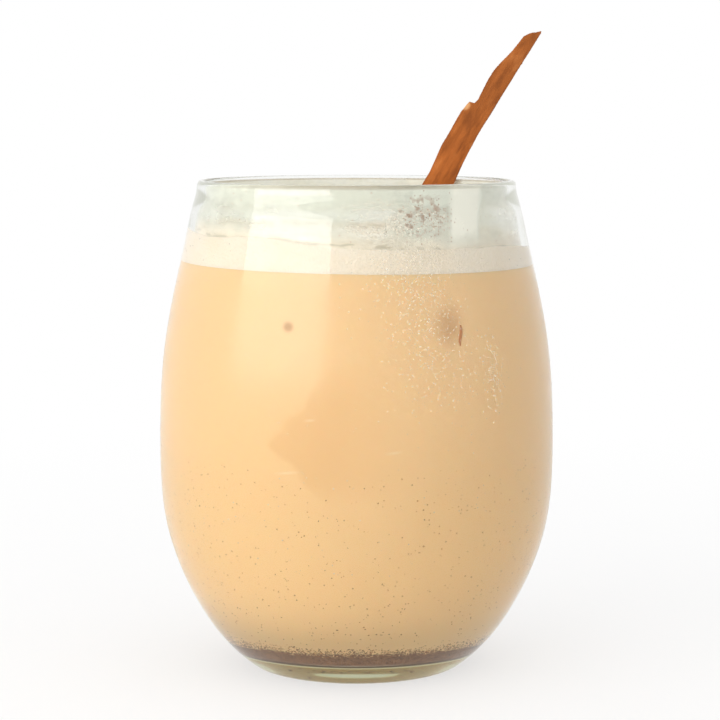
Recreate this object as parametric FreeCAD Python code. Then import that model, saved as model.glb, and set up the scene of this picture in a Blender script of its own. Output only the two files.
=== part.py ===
"""Iced milk tea in a rounded stemless glass.

Millimetres, +Z up. The origin is the centre of the foot, on the surface that the glass stands on.
-Y is the front. The pieces are the glass, the layer of ground spice on its floor, the milk tea,
the foam on the tea, an ice cube that floats up through the foam, and a splinter of cinnamon bark
that leans on the rim.
"""

import FreeCAD, Part
import math
import os
from FreeCAD import Placement, Rotation, Vector

# The glass: outside radii, and the heights where they lie.
glass_height = 118.0
rim_radius = 38.45  # at the fullest point of the rim's bead
neck_swell = 0.95  # neck and collar are wider than the rim by this much
collar_swell = 2.45
shoulder_radius = 44.45
belly_radius = 47.8
hip_radius = 44.45
heel_radius = 36.4
toe_radius = 30.2
foot_radius = 25.2  # outer edge of the flat ring that it stands on
neck_drop = 5.5  # neck, collar and shoulder are measured down from the rim
collar_drop = 12.0
shoulder_drop = 28.0
belly_height = 54.0  # belly, hip, heel and toe are measured up from the foot
hip_height = 28.0
heel_height = 11.5
toe_height = 4.0

# The glass: wall thickness at each of those places, and the floor.
bead_radius = 1.05
neck_wall = 1.6
collar_wall = 1.65
shoulder_wall = 1.8
belly_wall = 2.0
hip_wall = 2.7
heel_wall = 3.7
toe_wall = 6.2
floor_thickness = 6.9
floor_radius = 20.0  # the floor is flat out to here
punt_radius = 19.0  # the hollow under the floor
punt_depth = 1.6

# The drink: levels measured down from the rim, as the glass is filled.
headspace = 14.8  # rim to the top of the foam
foam_thickness = 5.1
level_tilt = 0.7  # degrees; the foam's underside is a little higher on the left
foam_tilt = 2.6  # degrees; its top falls further to the right
foam_ripple = 0.55  # how far the foam's top rises and falls
foam_climb = 0.8  # how far the foam clings up the wall
spice_depth = 2.9  # settled spice over the middle of the floor
spice_ripple = 0.25

# The ice cube.
ice_width = 18.0
ice_length = 19.0
ice_height = 23.0
ice_rounding = 3.2
ice_showing = 7.0  # how far its middle stands out of the foam
ice_gap = 1.5  # between the wall and the circle that its corners turn in
ice_bearing = 39.0  # degrees towards the front from the glass's right side
ice_turn = 24.0  # degrees about the upright
ice_tip = 9.0  # degrees from the upright

# The splinter of cinnamon bark. It is measured along its length from where it crosses the rim.
bark_above = 46.6
bark_below = 58.0
bark_left = 4.6  # from its middle line to its left edge, below the notch
bark_right = 1.8  # from its middle line to its right edge
bark_thickness = 1.6
bark_curl = 10.0  # radius of its hollow back
edge_swell = 0.7  # how far its right edge swells where it meets the rim
notch_height = 21.1
notch_step = 1.6
taper_height = 31.2  # where the left edge starts to slope over to the tip
tip_bevel = 3.2
bark_slant = 30.0  # degrees to the right
bark_lean = 17.0  # degrees to the back
bark_side = 22.0  # where it crosses the rim, to the right of the axis
rim_gap = 0.1  # between the bark and the rim that it leans on

# Levels and radii that follow from those.
foam_level = glass_height - headspace
tea_level = foam_level - foam_thickness
spice_level = floor_thickness + spice_depth
bead_height = glass_height - bead_radius
neck_radius = rim_radius + neck_swell
collar_radius = rim_radius + collar_swell
lip_middle = rim_radius - bead_radius
mouth_radius = lip_middle - bead_radius
bark_middle = (bark_right - bark_left) / 2
bark_axis = bark_curl + bark_thickness / 2
reach = glass_height + 2.0 * belly_radius  # past everything in the glass
UP = Vector(0, 0, 1)


def wall_stations():
    """Outside radius, height and wall, from the neck down to the toe."""
    return [
        (neck_radius, glass_height - neck_drop, neck_wall),
        (collar_radius, glass_height - collar_drop, collar_wall),
        (shoulder_radius, glass_height - shoulder_drop, shoulder_wall),
        (belly_radius, belly_height, belly_wall),
        (hip_radius, hip_height, hip_wall),
        (heel_radius, heel_height, heel_wall),
        (toe_radius, toe_height, toe_wall),
    ]


def smooth_line(points, start, end, upright=None):
    """A spline through points, with its direction given at both ends and upright at one point between."""
    loose = Vector(0, 0, 1)
    tangents = [start] + [loose] * (len(points) - 2) + [end]
    known = [True] + [False] * (len(points) - 2) + [True]
    if upright is not None:
        tangents[upright] = Vector(0, 0, -1)
        known[upright] = True
    line = Part.BSplineCurve()
    line.interpolate(Points=points, Tangents=tangents, TangentFlags=known)
    return line


def outer_line():
    """From the bead's outer side down over the belly to the foot's edge."""
    points = [Vector(rim_radius, 0, bead_height)]
    points += [Vector(radius, 0, height) for radius, height, wall in wall_stations()]
    points.append(Vector(foot_radius, 0, 0))
    return smooth_line(points, Vector(0, 0, -1), Vector(-1, 0, -0.6), upright=4)


def inner_line():
    """From the bead's inner side down to the flat of the floor, one wall inside the outer line."""
    outer = outer_line()
    points = [Vector(mouth_radius, 0, bead_height)]
    for radius, height, wall in wall_stations():
        at = outer.parameter(Vector(radius, 0, height))
        along = outer.tangent(at)[0]
        inward = Vector(along.z, 0, -along.x)
        points.append(Vector(radius, 0, height) + inward * wall)
    points.append(Vector(floor_radius, 0, floor_thickness))
    return smooth_line(points, Vector(0, 0, -1), Vector(-1, 0, 0))


def turned(edges):
    """The solid that a closed outline in the XZ plane makes when it is turned about the axis."""
    outline = Part.Wire(Part.__sortEdges__(edges))
    solid = Part.Face(outline).revolve(Vector(0, 0, 0), UP, 360)
    return Part.Solid(solid) if solid.ShapeType != "Solid" else solid


def line(start, end):
    return Part.LineSegment(start, end).toShape()


def make_glass():
    lip = Part.Arc(
        Vector(mouth_radius, 0, bead_height),
        Vector(lip_middle, 0, glass_height),
        Vector(rim_radius, 0, bead_height),
    )
    punt_edge = Vector(punt_radius, 0, 0)
    punt_top = Vector(0, 0, punt_depth)
    punt_ball = (punt_radius**2 + punt_depth**2) / (2 * punt_depth)
    turn = math.asin(punt_radius / punt_ball) / 2
    half_way = Vector(punt_ball * math.sin(turn), 0, punt_depth - punt_ball * (1 - math.cos(turn)))
    return turned(
        [
            outer_line().toShape(),
            line(Vector(foot_radius, 0, 0), punt_edge),
            Part.Arc(punt_edge, half_way, punt_top).toShape(),
            line(punt_top, Vector(0, 0, floor_thickness)),
            line(Vector(0, 0, floor_thickness), Vector(floor_radius, 0, floor_thickness)),
            inner_line().toShape(),
            lip.toShape(),
        ]
    )


def make_inside():
    """All the room inside the glass, up to the bead."""
    return turned(
        [
            inner_line().toShape(),
            line(Vector(floor_radius, 0, floor_thickness), Vector(0, 0, floor_thickness)),
            line(Vector(0, 0, floor_thickness), Vector(0, 0, bead_height)),
            line(Vector(0, 0, bead_height), Vector(mouth_radius, 0, bead_height)),
        ]
    )


def under_plane(level, tilt):
    """Everything under a level that is tilted about the Y axis, so that its left side is higher."""
    block = Part.makeBox(2 * reach, 2 * reach, reach, Vector(-reach, -reach, level - reach))
    block.rotate(Vector(0, 0, level), Vector(0, 1, 0), tilt)
    return block


def under_surface(height_at):
    """Everything under a smooth surface, whose height is a function of x and y."""
    spots = [belly_radius * (step / 5.0 - 1.1) for step in range(12)]
    grid = [[Vector(x, y, height_at(x, y)) for y in spots] for x in spots]
    sheet = Part.BSplineSurface()
    sheet.interpolate(grid)
    return sheet.toShape().extrude(Vector(0, 0, -reach))


def foam_top(x, y):
    slope = -x * math.tan(math.radians(foam_tilt))
    ripple = math.sin(x / 9.0 + 0.6) * math.cos(y / 11.0 - 0.4) + 0.5 * math.sin((x - y) / 7.0)
    climb = foam_climb * (math.hypot(x, y) / neck_radius) ** 6
    return foam_level + slope + foam_ripple * ripple + climb


def spice_top(x, y):
    return spice_level + spice_ripple * (math.sin(x / 6.0 - 0.8) + math.cos(y / 7.0 + 0.5))


def make_ice():
    cube = Part.makeBox(
        ice_width,
        ice_length,
        ice_height,
        Vector(-ice_width / 2, -ice_length / 2, -ice_height),
    )
    cube = cube.makeFillet(ice_rounding, cube.Edges)
    off_axis = neck_radius - neck_wall - ice_gap - math.hypot(ice_width, ice_length) / 2
    bearing = math.radians(-ice_bearing)
    top = Vector(off_axis * math.cos(bearing), off_axis * math.sin(bearing), foam_level + ice_showing)
    tipped = Rotation(UP, ice_turn).multiply(Rotation(Vector(1, 0, 0), ice_tip))
    cube.Placement = Placement(top, tipped)
    return cube


def bark_outline():
    """Its flat outline: x runs across it and z along it, from the broken foot round to the tip."""
    foot = -bark_below
    above_notch = notch_step - bark_left
    across = bark_right + bark_left
    return [
        Vector(bark_right, 0, foot),
        Vector(bark_right - 0.3 * across, 0, foot - 1.5),
        Vector(-bark_left + 0.2, 0, foot + 2.0),
        Vector(-bark_left + 0.4, 0, 0),
        Vector(-bark_left - 0.5, 0, 0.4 * notch_height),
        Vector(-bark_left - 0.6, 0, notch_height - 3.5),
        Vector(-bark_left, 0, notch_height),
        Vector(above_notch - 0.3, 0, notch_height + 0.3),
        Vector(above_notch, 0, notch_height + 1.5),
        Vector(above_notch - 0.4, 0, taper_height - 2.5),
        Vector(above_notch - 0.35, 0, taper_height),
        Vector(-0.4 * bark_left, 0, bark_above - 2.6 * tip_bevel),
        Vector(-0.25 * bark_left, 0, bark_above - 1.15 * tip_bevel),
        Vector(-0.1, 0, bark_above - 0.6 * tip_bevel),
        Vector(bark_right - 0.7, 0, bark_above - 0.35 * tip_bevel),
        Vector(bark_right + 0.35, 0, bark_above),
        Vector(bark_right + 0.05, 0, taper_height + 2.0),
        Vector(bark_right - 0.1, 0, notch_height + 6.0),
        Vector(bark_right - 0.35, 0, notch_height - 6.5),
        Vector(bark_right + 0.15, 0, 5.5),
        Vector(bark_right + edge_swell, 0, -1.0),
    ]


def bark_turn():
    slant = Rotation(Vector(0, 1, 0), bark_slant)
    return Rotation(Vector(1, 0, 0), -bark_lean).multiply(slant)


def bark_seat():
    """Where its middle line crosses the bead's height, with its back right edge one gap from the bead."""
    turn = bark_turn()
    along = turn.multVec(UP)
    edge_out = bark_right + edge_swell - bark_middle
    edge_back = bark_axis - math.sqrt(bark_curl**2 - edge_out**2)
    edge = turn.multVec(Vector(bark_right + edge_swell, edge_back, 0))
    edge -= along * (edge.z / along.z)
    touch_radius = lip_middle - (bead_radius + rim_gap) / along.z
    back = math.sqrt(touch_radius**2 - (bark_side + edge.x) ** 2) - edge.y
    return Vector(bark_side, back, bead_height)


def make_bark():
    corners = bark_outline()
    flat = Part.Face(Part.makePolygon(corners + corners[:1]))
    slab = flat.extrude(Vector(0, reach, 0))
    slab.translate(Vector(0, -reach / 2, 0))
    length = bark_above + bark_below + 8.0
    foot = Vector(bark_middle, bark_axis, -bark_below - 4.0)
    shell = Part.makeCylinder(bark_curl + bark_thickness, length, foot)
    shell = shell.cut(Part.makeCylinder(bark_curl, length, foot))
    front = Part.makeBox(reach, reach, length, foot - Vector(reach / 2, reach, 0))
    bark = shell.common(front).common(slab).removeSplitter().Solids[0]
    bark.Placement = Placement(bark_seat(), bark_turn())
    return bark


def make_parts():
    inside = make_inside()
    ice = make_ice()
    bark = make_bark()
    sunk = ice.fuse(bark)
    spice = inside.common(under_surface(spice_top))
    under_foam = inside.common(under_plane(tea_level, level_tilt))
    tea = under_foam.cut(spice).cut(sunk)
    foam = inside.common(under_surface(foam_top)).cut(under_foam).cut(sunk)
    return {
        "glass": make_glass(),
        "spice_sediment": spice,
        "milk_tea": tea,
        "foam": foam,
        "ice_cube": ice,
        "cinnamon_bark": bark,
    }


def write_parts():
    os.makedirs("parts", exist_ok=True)
    for name, shape in make_parts().items():
        for solid in shape.Solids:
            print(f"{name}: {solid.Volume / 1000.0:.2f} cc, valid {solid.isValid()}")
        Part.Compound(shape.Solids).exportStep(f"parts/{name}.step")


write_parts()
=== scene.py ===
import math
import random

import bpy
from mathutils import Matrix, Vector, noise


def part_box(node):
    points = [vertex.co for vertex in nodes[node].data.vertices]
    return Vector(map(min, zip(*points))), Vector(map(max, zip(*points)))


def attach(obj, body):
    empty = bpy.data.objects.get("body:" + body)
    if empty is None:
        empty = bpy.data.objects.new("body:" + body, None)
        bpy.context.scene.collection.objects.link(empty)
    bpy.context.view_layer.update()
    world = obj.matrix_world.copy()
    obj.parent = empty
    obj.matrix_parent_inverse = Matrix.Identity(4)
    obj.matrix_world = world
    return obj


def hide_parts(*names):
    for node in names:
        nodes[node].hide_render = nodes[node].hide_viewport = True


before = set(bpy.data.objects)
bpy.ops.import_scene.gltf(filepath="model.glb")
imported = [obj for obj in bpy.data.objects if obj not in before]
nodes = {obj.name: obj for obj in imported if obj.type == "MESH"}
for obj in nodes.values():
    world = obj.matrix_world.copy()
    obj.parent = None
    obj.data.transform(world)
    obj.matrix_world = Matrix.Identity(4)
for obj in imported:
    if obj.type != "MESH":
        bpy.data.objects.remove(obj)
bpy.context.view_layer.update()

mm = 0.001


def deselectAll():
    if bpy.context.mode != "OBJECT":
        bpy.ops.object.mode_set(mode="OBJECT")
    bpy.ops.object.select_all(action="DESELECT")


def pick(*pieces):
    deselectAll()
    for piece in pieces:
        piece.select_set(True)
    bpy.context.view_layer.objects.active = pieces[0]


def applyModifiers(piece):
    pick(piece)
    for modifier in list(piece.modifiers):
        bpy.ops.object.modifier_apply(modifier=modifier.name)


def startPiece(name):
    piece = bpy.context.object
    piece.name = name
    piece.data.name = name
    return piece


def spinOutline(name, outline, steps):
    # the half outline is drawn point by point and spun about the upright axis
    deselectAll()
    bpy.ops.mesh.primitive_plane_add(size=mm)
    piece = startPiece(name)
    bpy.ops.object.mode_set(mode="EDIT")
    bpy.ops.mesh.select_all(action="SELECT")
    bpy.ops.mesh.merge(type="CENTER")
    bpy.ops.transform.translate(value=(outline[0][0], 0, outline[0][1]))
    for (fromRadius, fromHeight), (toRadius, toHeight) in zip(outline, outline[1:]):
        step = (toRadius - fromRadius, 0, toHeight - fromHeight)
        bpy.ops.mesh.extrude_region_move(TRANSFORM_OT_translate={"value": step})
    bpy.ops.mesh.select_all(action="SELECT")
    bpy.ops.mesh.spin(steps=steps, angle=2 * math.pi, center=(0, 0, 0), axis=(0, 0, 1))
    bpy.ops.mesh.select_all(action="SELECT")
    bpy.ops.mesh.remove_doubles(threshold=2e-6)
    bpy.ops.mesh.normals_make_consistent(inside=False)
    bpy.ops.object.mode_set(mode="OBJECT")
    bpy.ops.object.shade_smooth()
    return piece


def copyNode(node, name):
    # a CAD node's mesh is loose triangles, so the copy is merged first
    piece = nodes[node].copy()
    piece.data = nodes[node].data.copy()
    piece.parent = None
    piece.name = name
    piece.data.name = name
    for tag in list(piece.keys()):
        del piece[tag]
    bpy.context.scene.collection.objects.link(piece)
    pick(piece)
    bpy.ops.object.mode_set(mode="EDIT")
    bpy.ops.mesh.select_all(action="SELECT")
    bpy.ops.mesh.remove_doubles(threshold=1e-6)
    bpy.ops.object.mode_set(mode="OBJECT")
    return piece


def remesh(piece, voxel):
    pick(piece)
    piece.data.remesh_voxel_size = voxel
    piece.data.remesh_voxel_adaptivity = 0
    piece.data.use_remesh_fix_poles = False
    bpy.ops.object.voxel_remesh()
    bpy.ops.object.shade_smooth()


def roughen(piece, heightAt):
    # moves every corner along its normal; the normals are read first, because each move spoils them
    normals = [vertex.normal.copy() for vertex in piece.data.vertices]
    for vertex, normal in zip(piece.data.vertices, normals):
        vertex.co += normal * heightAt(vertex.co)


def copyToPlaces(name, model, places):
    # the model is set down at every place, and all its copies make one piece
    corners = [vertex.co.copy() for vertex in model.data.vertices]
    sides = [list(polygon.vertices) for polygon in model.data.polygons]
    allCorners, allSides = [], []
    for place in places:
        first = len(allCorners)
        allCorners += [place @ corner for corner in corners]
        allSides += [[first + index for index in side] for side in sides]
    bpy.data.objects.remove(model)
    mesh = bpy.data.meshes.new(name)
    mesh.from_pydata(allCorners, [], allSides)
    piece = bpy.data.objects.new(name, mesh)
    bpy.context.scene.collection.objects.link(piece)
    pick(piece)
    bpy.ops.object.shade_smooth()
    return piece


def finishPiece(piece, finish, slot, *replaced):
    piece.data.materials.clear()
    piece.data.materials.append(finish)
    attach(piece, "root")
    if replaced:
        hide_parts(*replaced)
    print("made", piece.name, len(piece.data.polygons), "faces")


class Wire:
    # one output of a node, so that shader maths reads as sums
    def __init__(self, finish, socket):
        self.finish = finish
        self.socket = socket

    def maths(self, operation, first, second=0.0, clamp=False):
        settings = {"operation": operation, "use_clamp": clamp}
        return self.finish.node("Math", settings, {0: first, 1: second})

    def __add__(self, other):
        return self.maths("ADD", self, other)

    def __radd__(self, other):
        return self.maths("ADD", other, self)

    def __sub__(self, other):
        return self.maths("SUBTRACT", self, other)

    def __rsub__(self, other):
        return self.maths("SUBTRACT", other, self)

    def __mul__(self, other):
        return self.maths("MULTIPLY", self, other)

    def __rmul__(self, other):
        return self.maths("MULTIPLY", other, self)

    def __truediv__(self, other):
        return self.maths("DIVIDE", self, other)

    def __rtruediv__(self, other):
        return self.maths("DIVIDE", other, self)

    def __pow__(self, other):
        return self.maths("POWER", self, other)

    def __abs__(self):
        return self.maths("ABSOLUTE", self)

    def under(self, limit):
        return self.maths("LESS_THAN", self, limit)

    def over(self, limit):
        return self.maths("GREATER_THAN", self, limit)

    def least(self, other):
        return self.maths("MINIMUM", self, other)

    def clamped(self):
        return self.maths("MULTIPLY", self, 1.0, clamp=True)

    def ramp(self, low, high):
        # 0 below low, 1 above high, and eased between; low may be above high
        settings = {"interpolation_type": "SMOOTHSTEP"}
        inputs = {"Value": self, "From Min": low, "From Max": high, "To Min": 0.0, "To Max": 1.0}
        return self.finish.node("MapRange", settings, inputs)

    def bell(self, centre, width):
        # 1 at centre, falling to 0 one width away
        return (1.0 - abs((self - centre) / width)).clamped()


wall = {
    "ior": 0.888,  # of the drink, as met from inside the glass
    "mirror": (1.0, 0.93, 0.77, 1),
    "mirrorRoughness": 0.03,
    "turns": 2.5,  # light that turns more often in the wall is let out
    "afterTurns": (0.59, 0.59, 0.51, 1),
}


class Finish:
    # a material built from nodes
    def __init__(self, name):
        self.material = bpy.data.materials.new(name)
        self.material.use_nodes = True
        self.tree = self.material.node_tree
        self.tree.nodes.clear()
        self.place = self.node("TexCoord", {}, {}, "Object")
        self.x = self.node("SeparateXYZ", {}, {"Vector": self.place}, "X")
        self.y = self.node("SeparateXYZ", {}, {"Vector": self.place}, "Y")
        self.z = self.node("SeparateXYZ", {}, {"Vector": self.place}, "Z")

    def node(self, kind, settings, inputs, output=0):
        made = self.tree.nodes.new("ShaderNode" + kind)
        for key, value in settings.items():
            setattr(made, key, value)
        for key, value in inputs.items():
            if isinstance(value, Wire):
                self.tree.links.new(value.socket, made.inputs[key])
            else:
                made.inputs[key].default_value = value
        return Wire(self, made.outputs[output])

    def noise(self, scale, detail, place=None):
        inputs = {"Vector": place or self.place, "Scale": scale, "Detail": detail}
        return self.node("TexNoise", {}, inputs, "Fac")

    def stretched(self, x, y, z, place=None):
        inputs = {0: place or self.place, 1: (x, y, z)}
        return self.node("VectorMath", {"operation": "MULTIPLY"}, inputs)

    def cells(self, scale, output="Distance"):
        return self.node("TexVoronoi", {}, {"Vector": self.place, "Scale": scale}, output)

    def cellChance(self, scale):
        # a number from 0 to 1 that is the same all over one cell
        return self.node("SeparateColor", {}, {"Color": self.cells(scale, "Color")}, "Red")

    def farFrom(self, x, z, squash=1.0):
        # how far a spot seen from the front lies from x, z; squash under 1 draws it out upwards
        return ((self.x - x) ** 2.0 + ((self.z - z) * squash) ** 2.0) ** 0.5

    def mix(self, amount, first, second):
        settings = {"data_type": "RGBA", "clamp_factor": True}
        return self.node("Mix", settings, {0: amount, 6: first, 7: second}, 2)

    def bump(self, height, strength, distance):
        inputs = {"Height": height, "Strength": strength, "Distance": distance}
        return self.node("Bump", {}, inputs)

    def shader(self, **inputs):
        named = {key.replace("_", " "): value for key, value in inputs.items()}
        return self.node("BsdfPrincipled", {}, named)

    def blend(self, amount, first, second):
        return self.node("MixShader", {}, {0: amount, 1: first, 2: second})

    def wetFace(self, body):
        # behind glass a liquid's face mirrors what meets it beyond the critical angle
        inputs = {"Color": wall["mirror"], "Roughness": wall["mirrorRoughness"]}
        mirror = self.node("BsdfGlossy", {}, inputs)
        return self.blend(self.node("Fresnel", {}, {"IOR": wall["ior"]}), body, mirror)

    def clearOfShadow(self, body, colour):
        # lamps reach what the wall holds, and light that has turned too often leaves it dimmed
        shadow = self.node("LightPath", {}, {}, "Is Shadow Ray")
        turned = self.node("LightPath", {}, {}, "Glossy Depth").over(wall["turns"])
        passed = self.mix(turned, colour, wall["afterTurns"])
        through = self.node("BsdfTransparent", {}, {"Color": passed})
        return self.blend((shadow + turned).clamped(), body, through)

    def done(self, surface, volume=None):
        output = self.tree.nodes.new("ShaderNodeOutputMaterial")
        self.tree.links.new(surface.socket, output.inputs["Surface"])
        if volume:
            self.tree.links.new(volume.socket, output.inputs["Volume"])
        return self.material


def colour(red, green, blue):
    # a colour picked on a 0 to 255 scale
    parts = [value / 255 for value in (red, green, blue)]
    parts = [part / 12.92 if part <= 0.04045 else ((part + 0.055) / 1.055) ** 2.4 for part in parts]
    return (*parts, 1.0)


def readOutline(node):
    # half outline in the plane y = 0, from under the middle round over the rim to the floor's middle
    mesh = node.data
    nextTo = {}
    for edge in mesh.edges:
        ends = [mesh.vertices[index].co for index in edge.vertices]
        if all(abs(end.y) < 1e-7 and end.x > -1e-7 for end in ends):
            first, last = [(round(end.x, 6), round(end.z, 6)) for end in ends]
            if first != last:
                nextTo.setdefault(first, set()).add(last)
                nextTo.setdefault(last, set()).add(first)
    outline = [min(nextTo)]
    while True:
        fresh = [spot for spot in nextTo[outline[-1]] if spot not in outline]
        if not fresh:
            break
        outline.append(min(fresh, key=lambda spot: math.dist(spot, outline[-1])))
    outline.append((0.0, outline[-1][1]))
    return outline


def radiusAt(line, height):
    for (fromRadius, fromHeight), (toRadius, toHeight) in zip(line, line[1:]):
        low, high = sorted((fromHeight, toHeight))
        if low <= height <= high and high > low:
            return fromRadius + (toRadius - fromRadius) * (height - fromHeight) / (toHeight - fromHeight)
    return line[0][0]


glassOutline = readOutline(nodes["glass"])
rimHeight = max(height for radius, height in glassOutline)
rimIndex = [height for radius, height in glassOutline].index(rimHeight)
footIndex = max(index for index in range(rimIndex) if glassOutline[index][1] < 1e-6)
outerWall = glassOutline[footIndex:rimIndex + 1]
innerWall = glassOutline[rimIndex:]
floorTop = innerWall[-1][1]
print("outline of the glass:", len(glassOutline), "points")

drink = {
    "intoWall": 0.12 * mm,  # how far the drink reaches into the wall, so that no air shows
    "tilt": 0.7,  # degrees, the left side higher
    "foamTilt": 2.6,
    "foamLevel": rimHeight - 14.8 * mm,
    "foamRipple": 0.55 * mm,
    "foamClimb": 0.8 * mm,
    "neckRadius": 39.4 * mm,
    "spiceRise": 0.35 * mm,
    "spiceSag": 0.9 * mm,  # the bed lies lower to the left and the right
}
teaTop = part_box("milk_tea")[1].z
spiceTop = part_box("spice_sediment")[1].z
teaSlope = math.tan(math.radians(drink["tilt"]))
teaLevel = teaTop - radiusAt(innerWall, teaTop) * teaSlope


def foamHeight(x, y):
    across, deep = x / mm, y / mm
    slope = -x * math.tan(math.radians(drink["foamTilt"]))
    ripple = math.sin(across / 9 + 0.6) * math.cos(deep / 11 - 0.4) + 0.5 * math.sin((across - deep) / 7)
    climb = drink["foamClimb"] * (math.hypot(x, y) / drink["neckRadius"]) ** 6
    return drink["foamLevel"] + slope + drink["foamRipple"] * ripple + climb


def cutLevel(piece, level, slope, keepBelow):
    # trims a solid along the drink's tilted level and closes the cut
    pick(piece)
    bpy.ops.object.mode_set(mode="EDIT")
    bpy.ops.mesh.select_all(action="SELECT")
    bpy.ops.mesh.bisect(
        plane_co=(0, 0, level),
        plane_no=(slope, 0, 1),
        use_fill=True,
        clear_outer=keepBelow,
        clear_inner=not keepBelow,
    )
    bpy.ops.object.mode_set(mode="OBJECT")
    bpy.ops.object.shade_smooth_by_angle(angle=math.radians(40))


glass = {
    "steps": 96,
    "tint": (0.982, 0.986, 0.972, 1),
    "shadowTint": (0.96, 0.98, 0.965, 1),
    "depthTint": (0.58, 0.76, 0.60, 1),  # seen through the thick base and along the rim
    "depth": 8.0,
    "mistRoughness": 0.26,  # the cold wall below the drink's level
    "mistTop": (teaLevel + 3 * mm, teaLevel - 6 * mm),
    "mistFoot": (12 * mm, 26 * mm),
}


def makeGlassFinish():
    finish = Finish("clear_glass")
    mist = finish.z.ramp(*glass["mistTop"]) * finish.z.ramp(*glass["mistFoot"])
    patches = finish.noise(60, 3).ramp(0.3, 0.6)
    roughness = mist * (0.7 + 0.3 * patches) * glass["mistRoughness"]
    waves = finish.bump(finish.noise(28, 1), 0.12, 0.4 * mm)
    body = finish.shader(
        Base_Color=glass["tint"], Roughness=roughness, IOR=1.5, Transmission_Weight=1.0, Normal=waves
    )
    surface = finish.clearOfShadow(body, glass["shadowTint"])
    depth = finish.node("VolumeAbsorption", {}, {"Color": glass["depthTint"], "Density": glass["depth"]})
    return finish.done(surface, depth)


def makeGlass():
    piece = spinOutline("stemless_glass", glassOutline, glass["steps"])
    piece.modifiers.new("smooth", "SUBSURF").levels = 1
    piece.modifiers["smooth"].render_levels = 1
    applyModifiers(piece)
    finishPiece(piece, makeGlassFinish(), "clear_glass", "glass")


makeGlass()


tea = {
    "steps": 128,
    "upper": colour(246, 210, 161),
    # the lower colour is the drink's warmer tint low down, painted a little lighter to make up for the
    # weaker light from below
    "lower": colour(249, 208, 153),
    "speck": colour(138, 92, 56),
    "specks": 2300,  # how fine they are
    "mark": colour(186, 136, 90),
    "shade": colour(224, 176, 116),
    "glint": colour(255, 236, 206),
    "spot": (-15.1 * mm, 86.3 * mm),
    "halo": (20.6 * mm, 86.2 * mm),  # behind the shred of bark
    "iceShadeEdges": (
        # a point on the edge of the painted ice shade, and the way its face looks
        (-10.4 * mm, 73.4 * mm, 0.798, -0.601),
        (-21.1 * mm, 59.2 * mm, 0.681, 0.733),
    ),
    "glints": (
        # place and half length
        (-10.3 * mm, 65.7 * mm, 1.6 * mm),
        (-15.4 * mm, 53.6 * mm, 3.2 * mm),
        (8.4 * mm, 58.4 * mm, 2.4 * mm),
    ),
}


def pushedWall(fromHeight, toHeight, push=drink["intoWall"]):
    # the inside of the wall between two heights, from low to high, a little way into the glass
    heights = [height for radius, height in innerWall if fromHeight < height < toHeight]
    heights = [fromHeight] + sorted(heights) + [toHeight]
    return [(radiusAt(innerWall, height) + push, height) for height in heights]


def makeTeaFinish():
    finish = Finish("milk_tea")
    clouds = finish.noise(35, 3)
    # the tea turns from the lower colour to the upper one going up, and the lower one carries painted light
    # for the dimmer bottom
    rise = finish.z.ramp(12 * mm, 95 * mm)
    base = finish.mix((rise * 0.8 + clouds * 0.4 - 0.1).clamped(), tea["lower"], tea["upper"])
    # fine grains hang thickest just over the settled spice
    thick = finish.z.ramp(spiceTop + 2.2 * mm, spiceTop - 0.4 * mm)
    chance = finish.cellChance(tea["specks"])
    near = finish.cells(tea["specks"]).under(0.5)
    grains = near * chance.under(thick * thick * thick)
    base = finish.mix(grains * 0.85, base, tea["speck"])
    # a soft spot by the wall, and painted shade with faint edges where ice lies deeper in the drink
    front = finish.y.ramp(0.0, -20 * mm)
    spot = finish.farFrom(*tea["spot"])
    base = finish.mix(spot.ramp(1.7 * mm, 0.3 * mm) * front * 0.7, base, tea["mark"])
    halo = finish.farFrom(*tea["halo"], 0.65)
    base = finish.mix(halo.ramp(4.4 * mm, 0.5 * mm) * front * 0.45, base, tea["mark"])
    upper, lower = [
        (finish.x - x) * across + (finish.z - z) * up for x, z, across, up in tea["iceShadeEdges"]
    ]
    wobble = (finish.noise(110, 3) - 0.5) * (9 * mm)
    # painted shade: inside the ice's edges the tea is darkened towards the shade colour
    paintedIceShade = (upper.least(lower) + wobble).ramp(0.0, 2.2 * mm)
    paintedIceShade = paintedIceShade * finish.x.ramp(14 * mm, -10 * mm) * finish.z.ramp(82 * mm, 68 * mm) * front
    base = finish.mix(paintedIceShade * finish.z.ramp(44 * mm, 54 * mm) * 0.30, base, tea["shade"])
    for x, z, half in tea["glints"]:
        glint = (finish.z - z - (finish.x - x) * 0.12).bell(0.0, 0.45 * mm) * finish.x.bell(x, half)
        base = finish.mix(glint * front * 0.5, base, tea["glint"])
    body = finish.shader(
        Base_Color=base,
        Roughness=0.5,
        Specular_IOR_Level=0.0,
        Subsurface_Weight=0.35,
        Subsurface_Radius=(1.0, 0.6, 0.35),
        Subsurface_Scale=2.0 * mm,
    )
    return finish.done(finish.wetFace(body))


def makeTea():
    low = floorTop + 1.5 * mm
    high = teaTop + 1 * mm
    outline = [(0, low)] + pushedWall(low, high) + [(0, high)]
    piece = spinOutline("milk_tea_body", outline, tea["steps"])
    cutLevel(piece, teaLevel, teaSlope, keepBelow=True)
    finishPiece(piece, makeTeaFinish(), "milk_tea", "milk_tea")


makeTea()


spice = {
    "dark": colour(122, 88, 62),
    "light": colour(166, 122, 86),
    "dot": colour(72, 48, 32),
    "specks": 2600,
    "steps": 128,
    "rings": 14,
}


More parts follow.
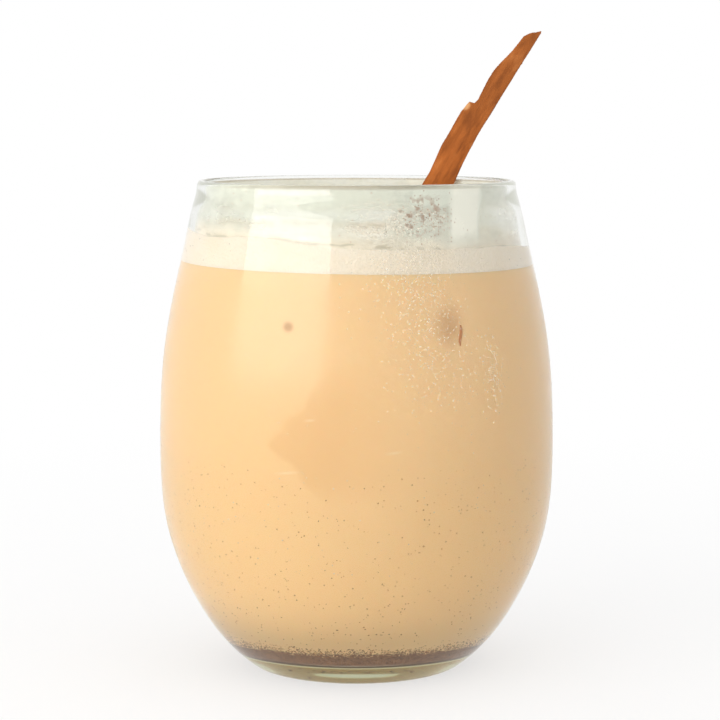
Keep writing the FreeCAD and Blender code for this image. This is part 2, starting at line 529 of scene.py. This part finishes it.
def makeSpiceFinish():
    finish = Finish("settled_spice")
    grain = finish.noise(900, 4)
    patches = finish.noise(120, 2)
    base = finish.mix((grain * 1.5 + patches * 0.6 - 0.75).clamped(), spice["dark"], spice["light"])
    chance = finish.cellChance(spice["specks"])
    near = finish.cells(spice["specks"])
    base = finish.mix(near.under(0.4) * chance.under(0.25) * 0.7, base, spice["dot"])
    # the bed gives way to tea in specks at its upper edge
    loose = finish.z.ramp(spiceTop - 1.1 * mm, spiceTop + 0.1 * mm)
    gaps = near.under(0.5) * chance.under(loose * 0.8)
    base = finish.mix(gaps * 0.75, base, tea["lower"])
    body = finish.shader(Base_Color=base, Roughness=0.85, Specular_IOR_Level=0.0)
    return finish.done(finish.wetFace(body))


def makeSpice():
    push = 2 * drink["intoWall"]  # over the foot of the tea
    outline = [(0, floorTop - push)] + pushedWall(floorTop, spiceTop, push)
    outerEdge = outline[-1][0]
    rings = spice["rings"]
    outline += [(outerEdge * ring / rings, spiceTop) for ring in range(rings - 1, -1, -1)]
    piece = spinOutline("settled_spice_bed", outline, spice["steps"])
    for vertex in piece.data.vertices:
        if vertex.co.z > spiceTop - 0.05 * mm:
            swell = noise.noise(vertex.co * 180) + 0.5 * noise.noise(vertex.co * 700)
            vertex.co.z += drink["spiceRise"] * swell - drink["spiceSag"] * (vertex.co.x / outerEdge) ** 2
            distance = math.hypot(vertex.co.x, vertex.co.y)
            if distance > outerEdge - 0.3 * mm:
                reach = radiusAt(innerWall, vertex.co.z) + push
                vertex.co.x *= reach / distance
                vertex.co.y *= reach / distance
    pick(piece)
    bpy.ops.object.shade_smooth_by_angle(angle=math.radians(40))
    finishPiece(piece, makeSpiceFinish(), "settled_spice", "spice_sediment")


makeSpice()


foam = {
    "pale": colour(254, 245, 233),
    "deep": colour(247, 231, 209),
    "pore": colour(232, 214, 182),
    "froth": 0.22 * mm,
    "steps": 160,
    "rings": 48,
    "bubbles": 420,
    "bubbleSizes": (0.25 * mm, 1.1 * mm),
    "seed": 4,
}


def makeFoamFinish():
    finish = Finish("foam")
    patches = finish.noise(80, 3)
    pores = finish.cells(1500)
    fine = finish.cells(3200)
    base = finish.mix((patches * 1.4 - 0.3).clamped(), foam["deep"], foam["pale"])
    holes = (1.0 - pores.ramp(0.1, 0.45)) * 0.25 + (1.0 - fine.ramp(0.1, 0.4)) * 0.15
    base = finish.mix(holes * 0.5, base, foam["pore"])
    bumps = finish.bump(pores + fine * 0.5, 0.5, 0.25 * mm)
    body = finish.shader(
        Base_Color=base,
        Roughness=0.55,
        Specular_IOR_Level=0.2,
        Subsurface_Weight=0.2,
        Subsurface_Radius=(1.0, 0.9, 0.75),
        Subsurface_Scale=1.5 * mm,
        Normal=bumps,
    )
    return finish.done(body)


def makeFoam():
    low = teaLevel - 1.5 * mm
    edge = drink["foamLevel"]
    outline = [(0, low)] + pushedWall(low, edge)
    outerEdge = outline[-1][0]
    rings = foam["rings"]
    outline += [(outerEdge * ring / rings, edge) for ring in range(rings - 1, -1, -1)]
    piece = spinOutline("foam_cap", outline, foam["steps"])
    for vertex in piece.data.vertices:
        x, y = vertex.co.x, vertex.co.y
        distance = math.hypot(x, y)
        share = min(1.0, max(0.0, (vertex.co.z - low) / (edge - low)))
        if share > 0:
            froth = noise.noise(Vector((x, y, 0)) * 260) + 0.6 * noise.noise(Vector((x, y, 5)) * 900)
            vertex.co.z += share * (foamHeight(x, y) + foam["froth"] * froth - edge)
        if distance > outerEdge - 0.3 * mm or share < 1:
            reach = radiusAt(innerWall, vertex.co.z) + drink["intoWall"]
            if distance > 1 * mm:
                vertex.co.x *= reach / distance
                vertex.co.y *= reach / distance
    cutLevel(piece, teaLevel, teaSlope, keepBelow=False)
    finishPiece(piece, makeFoamFinish(), "foam", "foam")


def makeBubbles():
    random.seed(foam["seed"])
    deselectAll()
    bpy.ops.mesh.primitive_uv_sphere_add(segments=8, ring_count=5, radius=1)
    model = startPiece("bubble")
    iceLow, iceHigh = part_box("ice_cube")
    reach = radiusAt(innerWall, drink["foamLevel"]) - 1.0 * mm
    small, large = foam["bubbleSizes"]
    places = []
    while len(places) < foam["bubbles"]:
        distance = reach * random.random() ** 0.35
        angle = random.uniform(0, 2 * math.pi)
        x, y = distance * math.cos(angle), distance * math.sin(angle)
        size = small + (large - small) * random.random() ** 3
        inIce = iceLow.x < x < iceHigh.x and iceLow.y < y < iceHigh.y
        if distance + size > reach + 0.6 * mm or inIce:
            continue
        spot = Vector((x, y, foamHeight(x, y) + 0.1 * size))
        places.append(Matrix.Translation(spot) @ Matrix.Diagonal((size, size, size * 0.8, 1)))
    piece = copyToPlaces("foam_bubbles", model, places)
    finish = Finish("bubble_skin")
    tone = finish.noise(400, 1)
    body = finish.shader(
        Base_Color=finish.mix(tone, foam["pale"], foam["deep"]), Roughness=0.12, Alpha=0.55
    )
    finishPiece(piece, finish.done(body), "foam")


makeFoam()
makeBubbles()


bark = {
    "voxel": 0.32 * mm,
    "slant": 30.0,  # degrees, as it leans on the rim
    "lean": 17.0,
    "fibre": 0.16 * mm,
    "dark": colour(148, 80, 32),
    "light": colour(184, 104, 46),
    "darkPatch": colour(128, 68, 28),
    "palePatch": colour(200, 124, 66),
    "tip": colour(132, 76, 34),
    "crack": colour(100, 50, 20),
    "chip": colour(222, 166, 112),
    "chipPlace": (27.4 * mm, 136.0 * mm),
}
barkTurn = Matrix.Rotation(math.radians(-bark["lean"]), 3, "X")
barkTurn = barkTurn @ Matrix.Rotation(math.radians(bark["slant"]), 3, "Y")


def makeBarkFinish():
    finish = Finish("bark")
    turn = (math.radians(bark["lean"]), math.radians(-bark["slant"]), 0)
    local = finish.node("Mapping", {}, {"Vector": finish.place, "Rotation": turn})
    streaks = finish.noise(1.0, 5, finish.stretched(700, 700, 110, local))
    fibres = finish.noise(1.0, 3, finish.stretched(2600, 2600, 160, local))
    patches = finish.noise(1.0, 4, finish.stretched(420, 420, 150, local))
    base = finish.mix((streaks * 2.2 - 0.6).clamped(), bark["dark"], bark["light"])
    base = finish.mix(patches.ramp(0.48, 0.68) * 0.7, base, bark["darkPatch"])
    base = finish.mix(patches.ramp(0.44, 0.28) * 0.6, base, bark["palePatch"])
    base = finish.mix(finish.z.ramp(122 * mm, 140 * mm) * 0.35, base, bark["tip"])
    base = finish.mix((fibres - 0.56).ramp(0.0, 0.12) * 0.35, base, bark["crack"])
    chip = finish.farFrom(*bark["chipPlace"])
    base = finish.mix(chip.ramp(1.7 * mm, 0.9 * mm) * 0.8, base, bark["chip"])
    bumps = finish.bump(streaks * 0.6 + fibres * 0.4, 0.7, 0.3 * mm)
    body = finish.shader(Base_Color=base, Roughness=0.72, Specular_IOR_Level=0.15, Normal=bumps)
    return finish.done(body)


def makeBark():
    piece = copyNode("cinnamon_bark", "cinnamon_splinter")
    remesh(piece, bark["voxel"])

    def fibres(spot):
        local = barkTurn.transposed() @ spot
        ridge = noise.noise(Vector((local.x * 900, local.y * 900, local.z * 45)))
        chip = noise.noise(Vector((local.x * 260, local.y * 260, local.z * 170 + 3)))
        return bark["fibre"] * (ridge * 1.2 + chip * 0.8 - 0.2)

    roughen(piece, fibres)
    finishPiece(piece, makeBarkFinish(), "bark", "cinnamon_bark")


makeBark()


ice = {
    "voxel": 0.7 * mm,
    "melt": 0.45 * mm,
    "tint": (0.97, 0.985, 0.98, 1),
    "shadowTint": (0.93, 0.95, 0.95, 1),
}


def makeIceFinish():
    finish = Finish("ice")
    crackle = finish.noise(220, 4)
    bumps = finish.bump(crackle, 0.4, 0.5 * mm)
    body = finish.shader(
        Base_Color=ice["tint"],
        Roughness=crackle * 0.16,
        IOR=1.31,
        Transmission_Weight=1.0,
        Normal=bumps,
    )
    return finish.done(finish.clearOfShadow(body, ice["shadowTint"]))


def makeIce():
    piece = copyNode("ice_cube", "melting_ice")
    remesh(piece, ice["voxel"])
    melt = piece.modifiers.new("melt", "SMOOTH")
    melt.factor = 0.6
    melt.iterations = 6
    applyModifiers(piece)

    def hollows(spot):
        return ice["melt"] * (noise.noise(spot * 130) + 0.4 * noise.noise(spot * 420) - 0.35)

    roughen(piece, hollows)
    finishPiece(piece, makeIceFinish(), "ice", "ice_cube")


makeIce()


film = {
    "pale": colour(231, 232, 219),
    # the near white of a painted highlight, a lamp's reflection on the near wall
    "glareWhite": colour(255, 252, 240),
    # the grey-brown of the line along the foam's edge, also used for the painted refraction line at the rim
    "edgeLine": colour(190, 180, 158),
    "crumb": colour(170, 132, 106),
    "top": rimHeight - 0.6 * mm,
    "splash": (19 * mm, 111 * mm),
    "crumbs": (14.5 * mm, 110.5 * mm),
    "crumbScale": 2400,
    # where the painted highlight of a lamp's reflection sits on the near wall
    "glareLeft": (20.2 * mm, 22.2 * mm),  # each edge, from clear to full
    "glareRight": (28.6 * mm, 26.8 * mm),
    "glareFoot": (102 * mm, 108 * mm),
    "offWall": (0.05 * mm, 0.13 * mm),
    "steps": 128,
}


def makeFilmFinish():
    finish = Finish("milk_film")
    broad = finish.noise(55, 4)
    fine = finish.noise(420, 3)
    slope = math.tan(math.radians(drink["foamTilt"]))
    # a grey-brown line along the foam's wavy edge, drawn on the wall just over the foam
    foamEdgeHeight = finish.noise(130, 2) * (3.2 * mm) - 1.0 * mm + drink["foamLevel"] - finish.x * slope
    overFoam = finish.z - foamEdgeHeight
    edgeLine = overFoam.bell(0.6 * mm, 0.7 * mm) * finish.noise(300, 2).ramp(0.4, 0.6)
    splash = finish.farFrom(*film["splash"])
    band = finish.z.ramp(rimHeight - 6.4 * mm, rimHeight - 3.4 * mm) * 0.30
    streaks = finish.noise(1.0, 4, finish.stretched(90, 90, 230)).ramp(0.42, 0.66)
    thick = 0.14 + broad.ramp(0.35, 0.7) * 0.28 + streaks * 0.2
    thick = thick + splash.ramp(12 * mm, 4 * mm) * 0.35 + band
    veil = thick * (0.7 + fine * 0.6) * finish.z.ramp(film["top"] + 0.1 * mm, film["top"] - 0.7 * mm)
    crumbArea = finish.farFrom(*film["crumbs"], 1.3)
    crumbChance = finish.cellChance(film["crumbScale"]).under(crumbArea.ramp(8.5 * mm, 1 * mm) * 0.5 + 0.015)
    smears = finish.noise(650, 3).ramp(0.54, 0.64) * crumbArea.ramp(8 * mm, 3 * mm) * 0.8
    crumbs = finish.cells(film["crumbScale"]).under(0.36) * crumbChance
    crumbs = (crumbs + smears).clamped() * finish.y.under(0.0)
    # painted highlight: a pale patch on the near wall stands for a lamp's reflection
    glare = finish.x.ramp(*film["glareLeft"]) * finish.x.ramp(*film["glareRight"])
    glare = glare * finish.z.ramp(*film["glareFoot"]) * broad.ramp(0.2, 0.4) * finish.y.under(0.0)
    cling = overFoam.ramp(4.5 * mm, 0.3 * mm) * (0.15 + broad * 0.6)
    # painted refraction: a thin grey-brown line under the film's top stands for the drink seen through the
    # rim
    rimRefraction = finish.z.bell(film["top"] - 0.3 * mm, 0.35 * mm)
    alpha = (veil + cling + edgeLine * 0.45 + crumbs * 0.38 + rimRefraction * 0.3 + glare * 0.6).clamped()
    base = finish.mix(cling * 1.6, film["pale"], foam["deep"])
    base = finish.mix(glare, base, film["glareWhite"])
    base = finish.mix((edgeLine + rimRefraction).clamped(), base, film["edgeLine"])
    base = finish.mix(crumbs, base, film["crumb"])
    body = finish.shader(Base_Color=base, Roughness=0.4, Specular_IOR_Level=0.2, Alpha=alpha)
    return finish.done(body)


def makeFilm():
    # heights stand close together round the rim's bead
    heights = [film["top"] - step * 0.2 * mm for step in range(10)]
    heights += [film["top"] - 1.8 * mm - step * 0.8 * mm for step in range(1, 20)]
    near, far = film["offWall"]
    outer = [(radiusAt(innerWall, height) - near, height) for height in heights]
    inner = [(radiusAt(innerWall, height) - far, height) for height in reversed(heights)]
    piece = spinOutline("milk_film", outer + inner + outer[:1], film["steps"])
    finishPiece(piece, makeFilmFinish(), "foam")


makeFilm()


grains = {
    "drifting": 2000,
    "fringe": 3000,
    "size": (0.07 * mm, 0.18 * mm),
    "fringeSize": (0.07 * mm, 0.16 * mm),
    "highest": 54 * mm,
    "seeds": (11, 12),
    "dark": colour(122, 72, 38),
    "light": colour(186, 122, 68),
}


def scatterGrains(count, low, high, lean, sizes, seed):
    # lean pulls the heights towards the bottom
    random.seed(seed)
    places = []
    for index in range(count):
        height = low + (high - low) * random.random() ** lean
        angle = random.uniform(0, 2 * math.pi)
        size = random.uniform(*sizes)
        distance = radiusAt(innerWall, height) + drink["intoWall"] - 0.25 * size
        spot = Vector((distance * math.cos(angle), distance * math.sin(angle), height))
        turn = Matrix.Rotation(random.uniform(0, math.pi), 4, Vector((random.random(), random.random(), 1)))
        shape = Matrix.Diagonal((size * random.uniform(0.6, 1.6), size, size * random.uniform(0.6, 1.2), 1))
        places.append(Matrix.Translation(spot) @ turn @ shape)
    return places


def makeGrains():
    deselectAll()
    bpy.ops.mesh.primitive_ico_sphere_add(subdivisions=1, radius=1)
    model = startPiece("grain")
    low, high = spiceTop - 0.8 * mm, spiceTop + 1.3 * mm
    driftSeed, fringeSeed = grains["seeds"]
    places = scatterGrains(grains["drifting"], spiceTop, grains["highest"], 1.25, grains["size"], driftSeed)
    places += scatterGrains(grains["fringe"], low, high, 1.8, grains["fringeSize"], fringeSeed)
    piece = copyToPlaces("spice_grains", model, places)
    finish = Finish("spice_grain")
    base = finish.mix(finish.noise(500, 1).ramp(0.35, 0.65), grains["dark"], grains["light"])
    body = finish.shader(Base_Color=base, Roughness=0.6, Specular_IOR_Level=0.0)
    finishPiece(piece, finish.done(body), "settled_spice")


makeGrains()


drops = {
    "front": 2600,
    "frontHeights": (66, 115),
    "frontAngle": -79,  # degrees, at the top of their slanting swath
    "streak": 300,  # a short run lower down at the right
    "streakHeight": (75, 4.5),  # its middle and its spread
    "streakAngle": -48,
    "around": 1400,
    "aroundHeights": (30 * mm, 112 * mm),
    "size": (0.05 * mm, 0.17 * mm),
    # the drops' warm pale colour is painted highlight and painted tea seen through them, since clear water
    # has no colour
    "tint": (1.0, 0.92, 0.78, 1),
    "seed": 21,
}


def makeDrops():
    random.seed(drops["seed"])
    deselectAll()
    bpy.ops.mesh.primitive_ico_sphere_add(subdivisions=1, radius=1)
    model = startPiece("drop")
    places = []
    small, large = drops["size"]
    low, high = drops["frontHeights"]
    for index in range(drops["front"] + drops["streak"] + drops["around"]):
        if index < drops["front"]:
            height = (low + (high - low) * random.random() ** 0.6) * mm
            slant = (high * mm - height) / mm * 0.32
            angle = math.radians(drops["frontAngle"] + slant + random.gauss(0, 7))
        elif index < drops["front"] + drops["streak"]:
            height = random.gauss(*drops["streakHeight"]) * mm
            angle = math.radians(drops["streakAngle"] + random.gauss(0, 1.8))
        else:
            height = random.uniform(*drops["aroundHeights"])
            angle = random.uniform(0, 2 * math.pi)
        size = small + (large - small) * random.random() ** 2
        distance = radiusAt(outerWall, height)
        facing = Vector((math.cos(angle), math.sin(angle), 0))
        spot = facing * distance + Vector((0, 0, height))
        turn = facing.to_track_quat("Z", "Y").to_matrix().to_4x4()
        places.append(Matrix.Translation(spot) @ turn @ Matrix.Diagonal((size, size, size * 0.45, 1)))
    piece = copyToPlaces("mist_drops", model, places)
    finish = Finish("water")
    # the drops carry painted highlights and painted tea in their warm pale colour
    body = finish.shader(Base_Color=drops["tint"], Roughness=0.12, IOR=1.33, Alpha=0.55)
    finishPiece(piece, finish.done(body), "clear_glass")


makeDrops()


shred = {
    "length": 4.6 * mm,
    "radius": 0.42 * mm,
    "angle": -58,  # degrees round the wall
    "height": 84.0 * mm,
    "dark": colour(190, 120, 68),
    "light": colour(206, 142, 90),
}


def makeShred():
    deselectAll()
    bpy.ops.mesh.primitive_cylinder_add(vertices=10, radius=shred["radius"], depth=shred["length"])
    piece = startPiece("bark_shred")
    bpy.ops.object.mode_set(mode="EDIT")
    bpy.ops.mesh.select_all(action="SELECT")
    bpy.ops.mesh.subdivide(number_cuts=4)
    bpy.ops.object.mode_set(mode="OBJECT")
    angle = math.radians(shred["angle"])
    for vertex in piece.data.vertices:
        height = vertex.co.z
        taper = 1.0 - 0.6 * abs(height / (shred["length"] / 2)) ** 2
        vertex.co.x *= taper * (1 + 0.3 * noise.noise(vertex.co * 900))
        vertex.co.y *= taper
        distance = radiusAt(innerWall, shred["height"] + height) + 0.1 * mm
        sway = angle + 0.008 * math.sin(height / mm)
        flatX, flatY = vertex.co.x, vertex.co.y
        vertex.co.x = (distance + flatY * 0.6) * math.cos(sway) - flatX * math.sin(sway)
        vertex.co.y = (distance + flatY * 0.6) * math.sin(sway) + flatX * math.cos(sway)
        vertex.co.z = shred["height"] + height
    bpy.ops.object.shade_smooth()
    finish = Finish("wet_bark")
    base = finish.mix(finish.noise(900, 2), shred["dark"], shred["light"])
    body = finish.shader(Base_Color=base, Roughness=0.6, Specular_IOR_Level=0.0)
    finishPiece(piece, finish.done(body), "bark")


makeShred()


studio = {
    "ambient": 1.0,
    "floor": (0.9, 0.9, 0.9, 1),
    "white": (1, 1, 1, 1),
    "whiteFrom": (0.10, 0.42),  # how far out the floor turns white
    "lens": 113.75,
    "sensor": 36,
    "cameraPlace": (0.00085, -0.55, 0.1366),
    "cameraTurn": 83.533,  # degrees up from straight down
    "distance": 0.9,
    "lampTint": (1.0, 0.985, 0.96),
    "aim": Vector((0, 0, 0.09)),
    "lamps": {
        # energy, size, degrees to the left of the camera, degrees up, seen in the glass
        "key": (3.4, (0.98, 0.42), 47.0, 15.0, True),
        "fill": (0.8, (1.0, 0.6), -50.0, 8.0, False),
    },
}


def makeFloor():
    deselectAll()
    bpy.ops.mesh.primitive_plane_add(size=8, location=(0, 0, -0.0002))
    floor = startPiece("floor")
    finish = Finish("floor_paint")
    chalk = finish.noise(30, 2) * 0.02 + 0.97
    paint = finish.mix(chalk, (0, 0, 0, 1), studio["floor"])
    diffuse = finish.node("BsdfDiffuse", {}, {"Color": paint})
    white = finish.node("Emission", {}, {"Color": studio["white"], "Strength": 1.0})
    seen = finish.node("LightPath", {}, {}, "Is Camera Ray")
    mirrored = finish.node("LightPath", {}, {}, "Is Glossy Ray")
    through = finish.node("LightPath", {}, {}, "Is Transmission Ray")
    away = ((finish.x ** 2.0 + finish.y ** 2.0) ** 0.5).ramp(*studio["whiteFrom"])
    lift = (seen + mirrored + through).clamped() * (0.62 + 0.38 * away)
    floor.data.materials.append(finish.done(finish.blend(lift, diffuse, white)))


def makeWorld():
    world = bpy.data.worlds.new("studio")
    bpy.context.scene.world = world
    world.use_nodes = True
    backdrop = world.node_tree.nodes["Background"]
    backdrop.inputs["Color"].default_value = studio["white"]
    backdrop.inputs["Strength"].default_value = studio["ambient"]


def makeLamps():
    for name, (energy, size, bearing, rise, mirrored) in studio["lamps"].items():
        data = bpy.data.lights.new(name, "AREA")
        data.shape = "RECTANGLE"
        data.size, data.size_y = size
        data.energy = energy
        data.color = studio["lampTint"]
        lamp = bpy.data.objects.new(name, data)
        turn, up = math.radians(-90 - bearing), math.radians(rise)
        away = Vector((math.cos(turn) * math.cos(up), math.sin(turn) * math.cos(up), math.sin(up)))
        lamp.location = studio["aim"] + away * studio["distance"]
        lamp.rotation_euler = away.to_track_quat("Z", "Y").to_euler()
        lamp.visible_camera = False
        lamp.visible_glossy = mirrored
        bpy.context.scene.collection.objects.link(lamp)


def makeCamera():
    data = bpy.data.cameras.new("camera")
    data.lens = studio["lens"]
    data.sensor_width = studio["sensor"]
    camera = bpy.data.objects.new("camera", data)
    camera.location = studio["cameraPlace"]
    camera.rotation_euler = (math.radians(studio["cameraTurn"]), 0, 0)
    bpy.context.scene.collection.objects.link(camera)
    bpy.context.scene.camera = camera


makeFloor()
makeWorld()
makeLamps()
makeCamera()
bpy.context.scene.view_settings.view_transform = "Standard"
print("studio ready")
